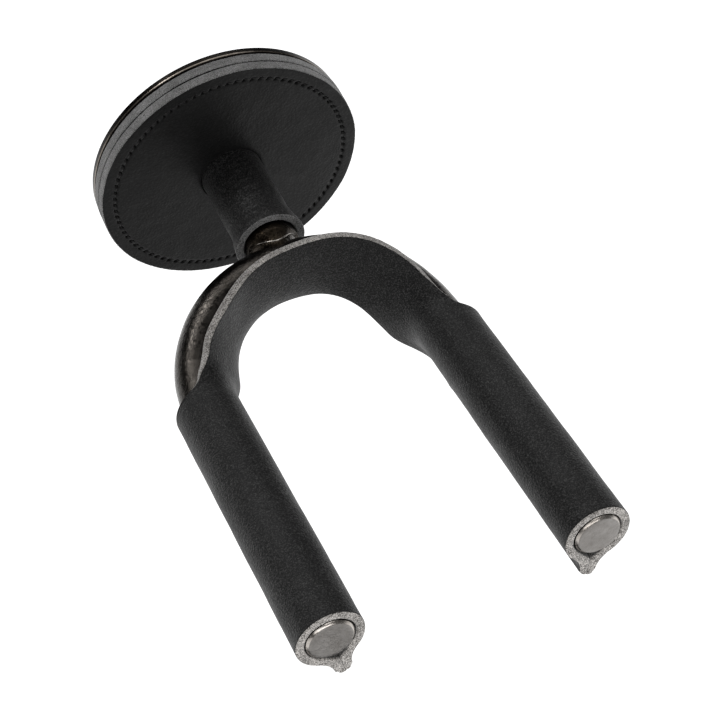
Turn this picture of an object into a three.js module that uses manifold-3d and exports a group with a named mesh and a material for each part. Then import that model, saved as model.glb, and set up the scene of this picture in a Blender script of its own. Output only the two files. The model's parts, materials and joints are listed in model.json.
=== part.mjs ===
// Leather-covered forged guitar hanger for a wall.
// Millimetres. The origin is the middle of the mounting face, +Y points into the wall,
// the arm points out of the wall along -Y and +Z is up.
import * as THREE from "three";
import { mergeVertices } from "three/addons/utils/BufferGeometryUtils.js";
import Module from "manifold-3d";

const wasm = await Module();
wasm.setup();

// ---- driving dimensions -------------------------------------------------------------
const GAP = 0.3; // clearance between pieces that touch
const PASS = 2; // how far a cutter reaches past the face it opens

const PLATE_RADIUS = 37.8;
const PLATE_THICKNESS = 2.8;
const PLATE_EDGE_ROUND = 1.2;
const SCREW_CIRCLE_RADIUS = 25;
const SCREW_HOLE_RADIUS = 2.4;
const SCREW_HEAD_RADIUS = 4.6;
const SCREW_COUNT = 3;

const HUB_RADIUS = 8.6;
const HUB_HEIGHT = 8.0;
const HUB_CHAMFER = 0.6;
const HUB_SPIGOT_RADIUS = 6.0;
const LOCK_RADIUS = 1.5;
const LOCK_OUT = 5.6; // distance of the lock screw's axis from the wall
const LOCK_KEY_RADIUS = 0.8;
const KEY_DEPTH = 1.7; // depth of both screws' hex sockets
const RETAINER_KEY_RADIUS = 1.1;
const RETAINER_RADIUS = 1.9;

const COVER_RADIUS = 38.1;
const COVER_HOLE_RADIUS = 9.6;
const COVER_LAYER = 2.9;
const COVER_FRONT = 9.2;
const COVER_EDGE_BEVEL = 0.35;
const STITCH_RADIUS = 34.25;
const THREAD_RADIUS = 0.35;

const POST_TILT = THREE.MathUtils.degToRad(2.5);
const POST_RADIUS = 6.15;
const POST_END = 35.6;
const TENON_RADIUS = 4.0;
const TENON_START = 2.2;

const SLEEVE_INNER = 6.45;
const SLEEVE_OUTER = 8.85;
const SLEEVE_START = 8.9;
const SLEEVE_END = 38.4;
const MOUTH_START = 33; // from here the sleeve opens out over the stud's collar
const MOUTH_END = 37.3;
const MOUTH_FLARE = 1.2;

const JOURNAL_RADIUS = 3.0;
const JOURNAL_START = 14.5;
const JOURNAL_BORE = JOURNAL_RADIUS + GAP;
const JOURNAL_CHAMFER = 0.5;
const GROOVE_MIDDLE = 18.5;
const GROOVE_WIDTH = 4.4;
const GROOVE_RADIUS = 2.1;
const BUSH_START = 22;
const BUSH_OUTER = 4.2;
const FLANGE_RADIUS = 5.8;
const FLANGE_THICKNESS = 0.8;
const FLANGE_END = POST_END + GAP + FLANGE_THICKNESS;
const SPRING_START = FLANGE_END + GAP;
const SPRING_THICKNESS = 0.5;
const SPRING_RISE = 0.5;
const WASHER_START = SPRING_START + SPRING_THICKNESS + SPRING_RISE + GAP;
const WASHER_THICKNESS = 0.8;
const WASHER_END = WASHER_START + WASHER_THICKNESS;
const COLLAR_START = WASHER_END + GAP;
const COLLAR_RADIUS = 7.35;
const COLLAR_LIP = 37.6; // the collar's lip reaches back round the washers
const COLLAR_BORE = 6.15;
const COLLAR_SHOULDER = COLLAR_START + 1;
const COLLAR_TAPER_END = 43;

const BAR_RADIUS = 6.15;
const YOKE_HALF_WIDTH = 34.4;
const YOKE_BACK = 47.8;
const SHOULDER_OUT = 79.3;
const SHOULDER_DROP = 9.2;
const TIP_OUT = 159.7;
const TIP_HEIGHT = 0.7;
const BEND_POWER = 2.3; // 2 is an ellipse, more is squarer
const TIP_CHAMFER = 0.7;
const BEND_DEPTH = SHOULDER_OUT - YOKE_BACK;
const PRONG_SLOPE = Math.atan2(TIP_HEIGHT + SHOULDER_DROP, TIP_OUT - SHOULDER_OUT);
const PRONG_LENGTH = (TIP_OUT - SHOULDER_OUT) / Math.cos(PRONG_SLOPE);
const BACK_LIFT = SHOULDER_DROP + BEND_DEPTH * Math.tan(PRONG_SLOPE);

const WRAP_THICKNESS = 2.25;
const WRAP_INNER = BAR_RADIUS + GAP;
const WRAP_OUTER = WRAP_INNER + WRAP_THICKNESS;
const WRAP_SETBACK = 0.5; // the steel ends stand this far out of the leather
const FIN_HALF = 2.3;
const FIN_REACH = 13.0;
const FIN_BEVEL = 0.6;
const FIN_FILLET = 5.0;
const FIN_LEAN = THREE.MathUtils.degToRad(12);
const STRIP_ABOVE = 14.4; // strip's top edge over the bar's centre, at the back
const STRIP_BELOW = 6.4;
const SEAM_INSET = 1.7; // seam's distance from the fin's lower edge
const SEAM_END_INSET = 3;

// ---- small helpers ------------------------------------------------------------------
function solidOf(geometry) {
  geometry.deleteAttribute("normal");
  geometry.deleteAttribute("uv");
  const merged = mergeVertices(geometry, 1e-4);
  return new wasm.Manifold(new wasm.Mesh({
    numProp: 3,
    vertProperties: merged.attributes.position.array,
    triVerts: new Uint32Array(merged.index.array),
  }));
}

function geometryOf(solid) {
  const mesh = solid.getMesh();
  const geometry = new THREE.BufferGeometry();
  geometry.setAttribute("position", new THREE.BufferAttribute(mesh.vertProperties, 3));
  geometry.setIndex(new THREE.BufferAttribute(mesh.triVerts, 1));
  return geometry;
}

// A turned solid about the Y axis. Points are [radius, distance out from the wall].
function turned(points, segments = 48) {
  const profile = points.map(([radius, out]) => new THREE.Vector2(radius, -out));
  return new THREE.LatheGeometry(profile.reverse(), segments);
}

function rod(radius, from, to, segments = 32) {
  return turned([[0, from], [radius, from], [radius, to], [0, to]], segments);
}

function ring(inner, outer, from, to, segments = 48) {
  return turned([[inner, from], [outer, from], [outer, to], [inner, to], [inner, from]], segments);
}

// A rod that lies along Z, for radial screws and their holes.
function uprightRod(radius, bottom, top, out, segments = 24) {
  const geometry = new THREE.CylinderGeometry(radius, radius, top - bottom, segments);
  geometry.rotateX(Math.PI / 2);
  geometry.translate(0, -out, (bottom + top) / 2);
  return geometry;
}

const materials = {
  smokeSteel: () => new THREE.MeshStandardMaterial({ color: 0x3a3533, roughness: 0.32, metalness: 1 }),
  plainSteel: () => new THREE.MeshStandardMaterial({ color: 0x8c8a88, roughness: 0.4, metalness: 1 }),
  nylon: () => new THREE.MeshStandardMaterial({ color: 0xe6e1d2, roughness: 0.6, metalness: 0 }),
  leather: () => new THREE.MeshStandardMaterial({ color: 0x141314, roughness: 0.62, metalness: 0 }),
  thread: () => new THREE.MeshStandardMaterial({ color: 0x0b0b0c, roughness: 0.7, metalness: 0 }),
};

function piece(name, geometry, finish) {
  const mesh = new THREE.Mesh(geometry, materials[finish]());
  mesh.name = name;
  return mesh;
}

// ---- wall plate, hub and leather cover ----------------------------------------------
function wallPlate() {
  const round = [];
  const steps = 5;
  for (let i = 0; i <= steps; i += 1) {
    const angle = (Math.PI / 2) * (i / steps);
    round.push([
      PLATE_RADIUS - PLATE_EDGE_ROUND * (1 - Math.cos(angle)),
      PLATE_THICKNESS - PLATE_EDGE_ROUND * (1 - Math.sin(angle)),
    ]);
  }
  const hole = HUB_SPIGOT_RADIUS + GAP;
  const profile = [[hole, 0], [PLATE_RADIUS, 0], ...round, [hole, PLATE_THICKNESS], [hole, 0]];
  let plate = solidOf(turned(profile, 72));
  for (let i = 0; i < SCREW_COUNT; i += 1) {
    const countersink = turned([
      [0, -1],
      [SCREW_HOLE_RADIUS, -1],
      [SCREW_HOLE_RADIUS, PLATE_THICKNESS - (SCREW_HEAD_RADIUS - SCREW_HOLE_RADIUS)],
      [SCREW_HEAD_RADIUS, PLATE_THICKNESS],
      [SCREW_HEAD_RADIUS, PLATE_THICKNESS + 1],
      [0, PLATE_THICKNESS + 1],
    ], 28);
    countersink.translate(0, 0, SCREW_CIRCLE_RADIUS);
    countersink.rotateY((2 * Math.PI * i) / SCREW_COUNT);
    plate = plate.subtract(solidOf(countersink));
  }
  return geometryOf(plate);
}

function postHub() {
  const body = solidOf(turned([
    [0, 0],
    [HUB_SPIGOT_RADIUS, 0],
    [HUB_SPIGOT_RADIUS, PLATE_THICKNESS + GAP],
    [HUB_RADIUS, PLATE_THICKNESS + GAP],
    [HUB_RADIUS, HUB_HEIGHT - HUB_CHAMFER],
    [HUB_RADIUS - HUB_CHAMFER, HUB_HEIGHT],
    [0, HUB_HEIGHT],
  ], 48));
  const socket = rod(TENON_RADIUS + GAP, TENON_START - GAP, HUB_HEIGHT + PASS);
  socket.rotateX(-POST_TILT);
  const lockHole = uprightRod(LOCK_RADIUS + GAP, -HUB_RADIUS - PASS, 0, LOCK_OUT);
  return geometryOf(body.subtract(solidOf(socket)).subtract(solidOf(lockHole)));
}

// A headless screw standing along Z with a hex socket in its lower end.
function socketScrew(radius, keyRadius, bottom, tip, out) {
  const screw = solidOf(uprightRod(radius, bottom, tip, out));
  const socket = uprightRod(keyRadius, bottom - PASS, bottom + KEY_DEPTH, out, 6);
  return geometryOf(screw.subtract(solidOf(socket)));
}

function hubLockScrew() {
  const tip = -TENON_RADIUS - 2 * GAP;
  return socketScrew(LOCK_RADIUS, LOCK_KEY_RADIUS, -HUB_RADIUS + GAP, tip, LOCK_OUT);
}

function coverLayer(from, to, groove) {
  const edge = COVER_EDGE_BEVEL;
  const solid = solidOf(turned([
    [COVER_HOLE_RADIUS, from],
    [COVER_RADIUS - edge, from],
    [COVER_RADIUS, from + edge],
    [COVER_RADIUS, to - edge],
    [COVER_RADIUS - edge, to],
    [COVER_HOLE_RADIUS, to],
    [COVER_HOLE_RADIUS, from],
  ], 72));
  if (!groove) return geometryOf(solid);
  const half = THREAD_RADIUS + GAP;
  const channel = ring(STITCH_RADIUS - half, STITCH_RADIUS + half, to - 2 * half, to + PASS, 72);
  return geometryOf(solid.subtract(solidOf(channel)));
}

function coverThread() {
  const middle = COVER_FRONT - THREAD_RADIUS - GAP;
  const from = middle - THREAD_RADIUS;
  const to = middle + THREAD_RADIUS;
  return ring(STITCH_RADIUS - THREAD_RADIUS, STITCH_RADIUS + THREAD_RADIUS, from, to, 72);
}

// ---- post, sleeve and swivel --------------------------------------------------------
function post() {
  const body = solidOf(turned([
    [0, TENON_START],
    [TENON_RADIUS, TENON_START],
    [TENON_RADIUS, HUB_HEIGHT + 2 * GAP],
    [POST_RADIUS, HUB_HEIGHT + 2 * GAP],
    [POST_RADIUS, POST_END],
    [BUSH_OUTER + GAP, POST_END],
    [BUSH_OUTER + GAP, BUSH_START - GAP],
    [JOURNAL_BORE, BUSH_START - GAP],
    [JOURNAL_BORE, JOURNAL_START - GAP],
    [0, JOURNAL_START - GAP],
  ], 48));
  const screwHole = uprightRod(RETAINER_RADIUS + GAP, -POST_RADIUS - PASS, 0, GROOVE_MIDDLE);
  return geometryOf(body.subtract(solidOf(screwHole)));
}

function retainingScrew() {
  const tip = -GROOVE_RADIUS - GAP;
  return socketScrew(RETAINER_RADIUS, RETAINER_KEY_RADIUS, -POST_RADIUS + GAP, tip, GROOVE_MIDDLE);
}

function swivelBushing() {
  const bore = JOURNAL_BORE;
  return turned([
    [bore, BUSH_START],
    [BUSH_OUTER, BUSH_START],
    [BUSH_OUTER, POST_END + GAP],
    [FLANGE_RADIUS, POST_END + GAP],
    [FLANGE_RADIUS, FLANGE_END],
    [bore, FLANGE_END],
    [bore, BUSH_START],
  ], 40);
}

function springWasher() {
  const inner = JOURNAL_BORE;
  return turned([
    [inner, SPRING_START + SPRING_RISE],
    [FLANGE_RADIUS, SPRING_START],
    [FLANGE_RADIUS, SPRING_START + SPRING_THICKNESS],
    [inner, SPRING_START + SPRING_RISE + SPRING_THICKNESS],
    [inner, SPRING_START + SPRING_RISE],
  ], 40);
}

function thrustWasher() {
  return ring(JOURNAL_BORE, FLANGE_RADIUS, WASHER_START, WASHER_END, 48);
}

// The stud's collar is coped to the back of the bar and its tenon passes through the bar.
function swivelStud(barForCutting) {
  const turnedStud = solidOf(turned([
    [0, JOURNAL_START],
    [JOURNAL_RADIUS - JOURNAL_CHAMFER, JOURNAL_START],
    [JOURNAL_RADIUS, JOURNAL_START + JOURNAL_CHAMFER],
    [JOURNAL_RADIUS, GROOVE_MIDDLE - GROOVE_WIDTH / 2],
    [GROOVE_RADIUS, GROOVE_MIDDLE - GROOVE_WIDTH / 2],
    [GROOVE_RADIUS, GROOVE_MIDDLE + GROOVE_WIDTH / 2],
    [JOURNAL_RADIUS, GROOVE_MIDDLE + GROOVE_WIDTH / 2],
    [JOURNAL_RADIUS, COLLAR_START],
    [COLLAR_BORE, COLLAR_START],
    [COLLAR_BORE, COLLAR_LIP],
    [COLLAR_RADIUS - GAP, COLLAR_LIP],
    [COLLAR_RADIUS, COLLAR_LIP + GAP],
    [COLLAR_RADIUS, COLLAR_SHOULDER],
    [POST_RADIUS, COLLAR_TAPER_END],
    [POST_RADIUS, YOKE_BACK - 1],
    [0, YOKE_BACK - 1],
  ], 40));
  const tenonEnd = YOKE_BACK + BAR_RADIUS - JOURNAL_CHAMFER;
  const tenon = solidOf(rod(JOURNAL_RADIUS, COLLAR_START + 1, tenonEnd, 40));
  return geometryOf(turnedStud.subtract(barForCutting).add(tenon));
}

function postSleeve() {
  return turned([
    [SLEEVE_INNER, SLEEVE_START],
    [SLEEVE_OUTER, SLEEVE_START],
    [SLEEVE_OUTER, MOUTH_START],
    [SLEEVE_OUTER + MOUTH_FLARE, SLEEVE_END],
    [SLEEVE_INNER + MOUTH_FLARE, SLEEVE_END],
    [SLEEVE_INNER + MOUTH_FLARE, MOUTH_END],
    [SLEEVE_INNER, MOUTH_START],
    [SLEEVE_INNER, SLEEVE_START],
  ]);
}

function sleeveThread() {
  const geometry = rod(THREAD_RADIUS, SLEEVE_START + 2 * GAP, MOUTH_START - 2 * GAP, 12);
  geometry.translate(0, 0, -(SLEEVE_OUTER + THREAD_RADIUS + GAP));
  return geometry;
}

// ---- yoke ---------------------------------------------------------------------------
// Height of the bar's centre where it is this far behind the shoulders.
function barHeight(back) {
  const share = Math.max(0, back) / BEND_DEPTH;
  return -SHOULDER_DROP - back * Math.tan(PRONG_SLOPE) + BACK_LIFT * share * share;
}

// Plan of the bend, from the left shoulder at turn 0 to the right one at turn PI.
function bendPlan(turn) {
  const power = 2 / BEND_POWER;
  const side = -Math.sign(Math.cos(turn)) * Math.abs(Math.cos(turn)) ** power;
  const back = BEND_DEPTH * Math.max(0, Math.sin(turn)) ** power;
  return { x: YOKE_HALF_WIDTH * side, back };
}

class YokeCurve extends THREE.Curve {
  getPoint(t, target = new THREE.Vector3()) {
    const straight = 0.3;
    if (t < straight || t > 1 - straight) {
      const along = t < straight ? 1 - t / straight : 1 - (1 - t) / straight;
      const out = SHOULDER_OUT + along * (TIP_OUT - SHOULDER_OUT);
      const side = t < straight ? -1 : 1;
      return target.set(side * YOKE_HALF_WIDTH, -out, barHeight(SHOULDER_OUT - out));
    }
    const { x, back } = bendPlan((Math.PI * (t - straight)) / (1 - 2 * straight));
    return target.set(x, back - SHOULDER_OUT, barHeight(back));
  }
}

function barSolid(radius, sides = 24) {
  const section = new THREE.Shape();
  section.absarc(0, 0, radius, 0, 2 * Math.PI);
  const geometry = new THREE.ExtrudeGeometry(section, {
    steps: 84,
    curveSegments: sides / 2,
    extrudePath: new YokeCurve(),
  });
  return solidOf(geometry);
}

// Places a geometry whose +Z runs along a prong, with its zero at the shoulder.
function ontoProng(geometry, side) {
  const along = new THREE.Vector3(0, -Math.cos(PRONG_SLOPE), Math.sin(PRONG_SLOPE));
  const up = new THREE.Vector3(0, Math.sin(PRONG_SLOPE), Math.cos(PRONG_SLOPE));
  const matrix = new THREE.Matrix4().makeBasis(new THREE.Vector3(1, 0, 0), up, along);
  matrix.setPosition(side * YOKE_HALF_WIDTH, -SHOULDER_OUT, -SHOULDER_DROP);
  return geometry.applyMatrix4(matrix);
}

function yokeBar() {
  let bar = barSolid(BAR_RADIUS);
  for (const side of [-1, 1]) {
    const cutter = new THREE.LatheGeometry([
      new THREE.Vector2(BAR_RADIUS - TIP_CHAMFER, PRONG_LENGTH + 0.01),
      new THREE.Vector2(BAR_RADIUS + 1, PRONG_LENGTH - TIP_CHAMFER - 1),
      new THREE.Vector2(BAR_RADIUS + 1, PRONG_LENGTH + 1),
      new THREE.Vector2(BAR_RADIUS - TIP_CHAMFER, PRONG_LENGTH + 1),
      new THREE.Vector2(BAR_RADIUS - TIP_CHAMFER, PRONG_LENGTH + 0.01),
    ], 48);
    cutter.rotateX(Math.PI / 2);
    bar = bar.subtract(solidOf(ontoProng(cutter, side)));
  }
  const studHole = rod(JOURNAL_BORE, YOKE_BACK - BAR_RADIUS - PASS, YOKE_BACK + BAR_RADIUS + PASS);
  return geometryOf(bar.subtract(solidOf(studHole)));
}

// ---- yoke leather -------------------------------------------------------------------
// Section of a wrapped prong: a round wrap whose edges meet in a fin under the bar.
function wrapSection(side) {
  const lean = side * -FIN_LEAN;
  const centreX = FIN_HALF + FIN_FILLET;
  const centreY = -Math.sqrt((WRAP_OUTER + FIN_FILLET) ** 2 - centreX ** 2);
  const start = Math.atan2(centreY, centreX);
  const toWrap = Math.atan2(-centreY, -centreX);
  const turn = (angle) => angle + lean;
  const spin = (x, y) => [
    x * Math.cos(lean) - y * Math.sin(lean),
    x * Math.sin(lean) + y * Math.cos(lean),
  ];
  const section = new THREE.Shape();
  section.absarc(0, 0, WRAP_OUTER, turn(start), turn(Math.PI - start), false);
  section.absarc(...spin(-centreX, centreY), FIN_FILLET, turn(Math.PI - toWrap), turn(0), true);
  section.lineTo(...spin(-FIN_HALF, -FIN_REACH + FIN_BEVEL));
  section.lineTo(...spin(-FIN_HALF + FIN_BEVEL, -FIN_REACH));
  section.lineTo(...spin(FIN_HALF - FIN_BEVEL, -FIN_REACH));
  section.lineTo(...spin(FIN_HALF, -FIN_REACH + FIN_BEVEL));
  section.lineTo(...spin(FIN_HALF, centreY));
  section.absarc(...spin(centreX, centreY), FIN_FILLET, turn(Math.PI), turn(toWrap), true);
  const bore = new THREE.Path();
  bore.absarc(0, 0, WRAP_INNER, 0, 2 * Math.PI, true);
  section.holes.push(bore);
  return section;
}

function prongWrap(side) {
  const geometry = new THREE.ExtrudeGeometry(wrapSection(side), {
    depth: PRONG_LENGTH - WRAP_SETBACK,
    steps: 1,
    curveSegments: 14,
    bevelEnabled: false,
  });
  return solidOf(ontoProng(geometry, side));
}

// Plan outline of the strip that lines the bend, as two offsets of the bar's plan.
function stripPlan() {
  const steps = 44;
  const overlap = 3;
  const rows = { near: [], far: [] };
  for (let i = 0; i <= steps; i += 1) {
    const turn = (Math.PI * i) / steps;
    const here = bendPlan(turn);
    const before = bendPlan(Math.max(0, turn - 0.01));
    const after = bendPlan(Math.min(Math.PI, turn + 0.01));
    const tangent = new THREE.Vector2(after.x - before.x, after.back - before.back).normalize();
    const inward = new THREE.Vector2(tangent.y, -tangent.x);
    const offsetPoint = (distance) => new THREE.Vector2(
      here.x + inward.x * distance,
      here.back - SHOULDER_OUT + inward.y * distance,
    );
    rows.near.push(offsetPoint(WRAP_INNER));
    rows.far.push(offsetPoint(WRAP_OUTER));
  }
  for (const row of [rows.near, rows.far]) {
    const first = row[0];
    const last = row[steps];
    row.unshift(new THREE.Vector2(first.x, first.y - overlap));
    row.push(new THREE.Vector2(last.x, last.y - overlap));
  }
  return new THREE.Shape([...rows.near, ...rows.far.reverse()]);
}

// Side view of the strip: it follows the bar's droop and grows downward to the fins.
function stripSide() {
  const top = [];
  const bottom = [];
  const steps = 10;
  for (let i = -1; i <= steps; i += 1) {
    const back = (BEND_DEPTH * i) / steps;
    const share = Math.max(0, i) / steps;
    const middle = barHeight(back);
    const y = back - SHOULDER_OUT;
    const above = WRAP_OUTER + (STRIP_ABOVE - WRAP_OUTER) * share;
    const below = STRIP_BELOW + (FIN_REACH - 1 - STRIP_BELOW) * (1 - share) ** 2;
    top.push(new THREE.Vector2(y, middle + above));
    bottom.push(new THREE.Vector2(y, middle - below));
  }
  return new THREE.Shape([...bottom, ...top.reverse()]);
}

function yokeLeather() {
  const tall = 60;
  const plan = new THREE.ExtrudeGeometry(stripPlan(), { depth: tall, steps: 1, bevelEnabled: false });
  plan.translate(0, 0, -tall / 2);
  const width = 2 * YOKE_HALF_WIDTH + 40;
  const outline = new THREE.ExtrudeGeometry(stripSide(), { depth: width, steps: 1, bevelEnabled: false });
  const turnedSideways = new THREE.Matrix4().makeBasis(
    new THREE.Vector3(0, 1, 0),
    new THREE.Vector3(0, 0, 1),
    new THREE.Vector3(1, 0, 0),
  );
  outline.applyMatrix4(turnedSideways);
  outline.translate(-width / 2, 0, 0);
  const strip = solidOf(plan).intersect(solidOf(outline));
  return geometryOf(strip.add(prongWrap(-1)).add(prongWrap(1)));
}

// The seam's thread runs along the inner side of the fin.
function seamThread(side) {
  const length = PRONG_LENGTH - 2 * SEAM_END_INSET;
  const geometry = new THREE.CylinderGeometry(THREAD_RADIUS, THREAD_RADIUS, length, 10);
  geometry.rotateX(Math.PI / 2);
  const off = -side * (FIN_HALF + GAP + THREAD_RADIUS);
  geometry.translate(off, -FIN_REACH + SEAM_INSET, PRONG_LENGTH / 2);
  geometry.rotateZ(side * -FIN_LEAN);
  return ontoProng(geometry, side);
}

// ---- assembly -----------------------------------------------------------------------
const hanger = new THREE.Group();
const backFrom = PLATE_THICKNESS + GAP;
const frontFrom = COVER_FRONT - COVER_LAYER;
hanger.add(piece("wall_plate", wallPlate(), "smokeSteel"));
hanger.add(piece("post_hub", postHub(), "smokeSteel"));
hanger.add(piece("hub_lock_screw", hubLockScrew(), "plainSteel"));
hanger.add(piece("cover_back_leather", coverLayer(backFrom, frontFrom - GAP, false), "leather"));
hanger.add(piece("cover_front_leather", coverLayer(frontFrom, COVER_FRONT, true), "leather"));
hanger.add(piece("cover_thread", coverThread(), "thread"));

const arm = new THREE.Group();
arm.rotation.x = -POST_TILT;
hanger.add(arm);
arm.add(piece("post", post(), "smokeSteel"));
arm.add(piece("post_sleeve", postSleeve(), "leather"));
arm.add(piece("sleeve_thread", sleeveThread(), "thread"));
arm.add(piece("retaining_screw", retainingScrew(), "plainSteel"));
arm.add(piece("swivel_bushing", swivelBushing(), "nylon"));
arm.add(piece("spring_washer", springWasher(), "plainSteel"));
arm.add(piece("thrust_washer", thrustWasher(), "smokeSteel"));
arm.add(piece("swivel_stud", swivelStud(barSolid(BAR_RADIUS + GAP)), "smokeSteel"));
arm.add(piece("yoke_bar", yokeBar(), "smokeSteel"));
arm.add(piece("yoke_leather", yokeLeather(), "leather"));
arm.add(piece("left_seam_thread", seamThread(-1), "thread"));
arm.add(piece("right_seam_thread", seamThread(1), "thread"));

export default hanger;
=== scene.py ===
"""Looks of the leather-covered wall guitar hanger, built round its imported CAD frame.

Shapes are worked out in millimetres and written to the meshes in metres.
The arm's pieces are worked out square to the wall and then tipped up with the post.
"""

import json
import math

import bpy
import numpy as np
from mathutils import Matrix, Vector, noise


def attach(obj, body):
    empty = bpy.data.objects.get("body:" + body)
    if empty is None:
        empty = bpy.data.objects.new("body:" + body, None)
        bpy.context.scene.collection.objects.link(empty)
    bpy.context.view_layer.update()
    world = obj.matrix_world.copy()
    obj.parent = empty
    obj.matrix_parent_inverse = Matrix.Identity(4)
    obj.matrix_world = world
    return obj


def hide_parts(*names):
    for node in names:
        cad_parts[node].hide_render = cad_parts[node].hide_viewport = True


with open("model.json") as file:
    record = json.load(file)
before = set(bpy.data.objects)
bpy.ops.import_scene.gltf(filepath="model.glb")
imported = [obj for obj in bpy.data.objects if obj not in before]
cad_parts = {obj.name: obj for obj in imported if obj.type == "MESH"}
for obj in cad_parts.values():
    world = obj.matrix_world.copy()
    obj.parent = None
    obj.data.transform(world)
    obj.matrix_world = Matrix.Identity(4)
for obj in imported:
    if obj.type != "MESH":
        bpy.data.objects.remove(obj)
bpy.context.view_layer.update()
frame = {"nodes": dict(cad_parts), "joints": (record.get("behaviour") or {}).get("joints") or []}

MM = 0.001
GAP = 0.3

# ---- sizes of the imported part, in millimetres ---------------------------------------
PLATE_RADIUS = 37.8
PLATE_THICKNESS = 2.8
PLATE_EDGE_ROUND = 1.1
SCREW_CIRCLE_RADIUS = 25
SCREW_HOLE_RADIUS = 2.4
SCREW_HEAD_RADIUS = 4.6
SCREW_COUNT = 3
SPIGOT_HOLE_RADIUS = 6.3

COVER_RADIUS = 38.1
COVER_HOLE_RADIUS = 9.0
COVER_BACK_FROM = 3.1
COVER_BACK_TO = 6.0
COVER_FRONT_FROM = 6.3
COVER_FRONT_TO = 9.2
STITCH_RADIUS = 34.25
STITCH_COUNT = 90

POST_RADIUS = 6.15
SLEEVE_INNER = 6.45
SLEEVE_OUTER = 8.85
SLEEVE_START = 8.9
SLEEVE_END = 38.4
MOUTH_START = 33
MOUTH_END = 37.3
MOUTH_FLARE = 1.2
JOURNAL_RADIUS = 2.9
JOURNAL_SHOWN = 3.0  # how much of the journal the stud keeps behind its collar
COLLAR_START = 39.4
COLLAR_RADIUS = 7.35
COLLAR_LIP = 37.6
COLLAR_BORE = 6.15
COLLAR_SHOULDER = 40.4
COLLAR_TAPER_END = 43
COPE_EASE = 0.5  # rounds the points where the collar and the bar meet

STITCH_BEAD = 0.30  # thread radius of the cover and the sleeve
SEAM_BEAD = 0.28
SEAM_PITCH = 3.4
SEAM_FROM = 4.0  # distance of the first stitch from the shoulder
SEAM_MARGINS = 7  # bare lengths at both ends of the seam, together
SEAM_INSET = 1.45  # distance from the fin's lower edge

BAR_RADIUS = 6.15
HALF_WIDTH = 34.4
YOKE_BACK = 47.8
SHOULDER_OUT = 79.3
SHOULDER_DROP = 9.2
TIP_OUT = 159.7
TIP_HEIGHT = 0.7
BEND_POWER = 2.3
TIP_CHAMFER = 0.7
BEND_DEPTH = SHOULDER_OUT - YOKE_BACK
PRONG_SLOPE = math.atan2(TIP_HEIGHT + SHOULDER_DROP, TIP_OUT - SHOULDER_OUT)
BACK_LIFT = SHOULDER_DROP + BEND_DEPTH * math.tan(PRONG_SLOPE)

LEATHER = 2.25
WRAP_INNER = BAR_RADIUS + GAP
WRAP_SETBACK = 0.5
FIN_HALF = 2.3
FIN_REACH = 13.0
FIN_FILLET = 7.0
FIN_LEAN = math.radians(12)

# The post's tilt is that of the swivel's axis.
swivel = next(j for j in frame["joints"] if j["name"] == "yoke_swivel")
TILT = math.atan2(swivel["axis"][2], -swivel["axis"][1])
ARM = np.array(Matrix.Rotation(-TILT, 3, "X"))


# ---- materials ----------------------------------------------------------------------
class Shader:
    """A Principled material whose nodes are added by short calls."""

    def __init__(self, name):
        self.material = bpy.data.materials.new(name)
        self.material.use_nodes = True
        self.tree = self.material.node_tree
        self.tree.nodes.clear()
        self.output = self.tree.nodes.new("ShaderNodeOutputMaterial")
        self.surface = self.tree.nodes.new("ShaderNodeBsdfPrincipled")
        self.tree.links.new(self.surface.outputs[0], self.output.inputs[0])
        self.place = self.tree.nodes.new("ShaderNodeTexCoord").outputs["Object"]

    def put(self, socket, value):
        """Link a socket to another one, or give it a plain value."""
        if isinstance(value, bpy.types.NodeSocket):
            self.tree.links.new(value, socket)
        else:
            socket.default_value = value

    def set(self, **values):
        for key, value in values.items():
            self.put(self.surface.inputs[key.replace("_", " ")], value)
        return self

    def node(self, kind, output=0, inputs=None, **settings):
        """Add a node and give back one of its outputs."""
        made = self.tree.nodes.new("ShaderNode" + kind)
        for key, value in settings.items():
            setattr(made, key, value)
        for key, value in (inputs or {}).items():
            self.put(made.inputs[key], value)
        return made.outputs[output]

    def noise(self, size, detail=2.0, rough=0.5, place=None):
        """Noise whose blobs are about this many millimetres across."""
        return self.node("TexNoise", "Fac", {
            "Vector": place or self.place,
            "Scale": 1 / (size * MM),
            "Detail": detail,
            "Roughness": rough,
        })

    def cells(self, size, place, feature="SMOOTH_F1"):
        """Distance from the nearest of many scattered points, about this many millimetres apart."""
        inputs = {"Vector": place, "Scale": 1 / (size * MM)}
        if feature == "SMOOTH_F1":
            inputs["Smoothness"] = 0.6
        return self.node("TexVoronoi", "Distance", inputs, feature=feature)

    def math(self, operation, a, b=0.0, c=0.0, clamp=False):
        return self.node("Math", 0, {0: a, 1: b, 2: c}, operation=operation, use_clamp=clamp)

    def span(self, value, low, high, to_low=0.0, to_high=1.0, smooth=False):
        """The value, mapped from its own range to another and held at both ends."""
        return self.node("MapRange", 0, {
            "Value": value,
            "From Min": low,
            "From Max": high,
            "To Min": to_low,
            "To Max": to_high,
        }, interpolation_type="SMOOTHSTEP" if smooth else "LINEAR", clamp=True)

    def mix(self, share, a, b):
        """Colour a where the share is 0 and colour b where it is 1."""
        made = self.tree.nodes.new("ShaderNodeMix")
        made.data_type = "RGBA"
        self.put(made.inputs[0], share)
        self.put(made.inputs[6], a)
        self.put(made.inputs[7], b)
        return made.outputs[2]

    def stretched(self, x=1.0, y=1.0, z=1.0):
        """Object coordinates with each axis scaled by its own factor."""
        return self.node("Mapping", 0, {"Vector": self.place, "Scale": (x, y, z)})

    def bump(self, height, depth, strength=1.0, below=None):
        """Bump of a 0 to 1 height that stands this many millimetres tall."""
        inputs = {"Height": height, "Distance": depth * MM, "Strength": strength}
        if below is not None:
            inputs["Normal"] = below
        return self.node("Bump", 0, inputs)


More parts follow.
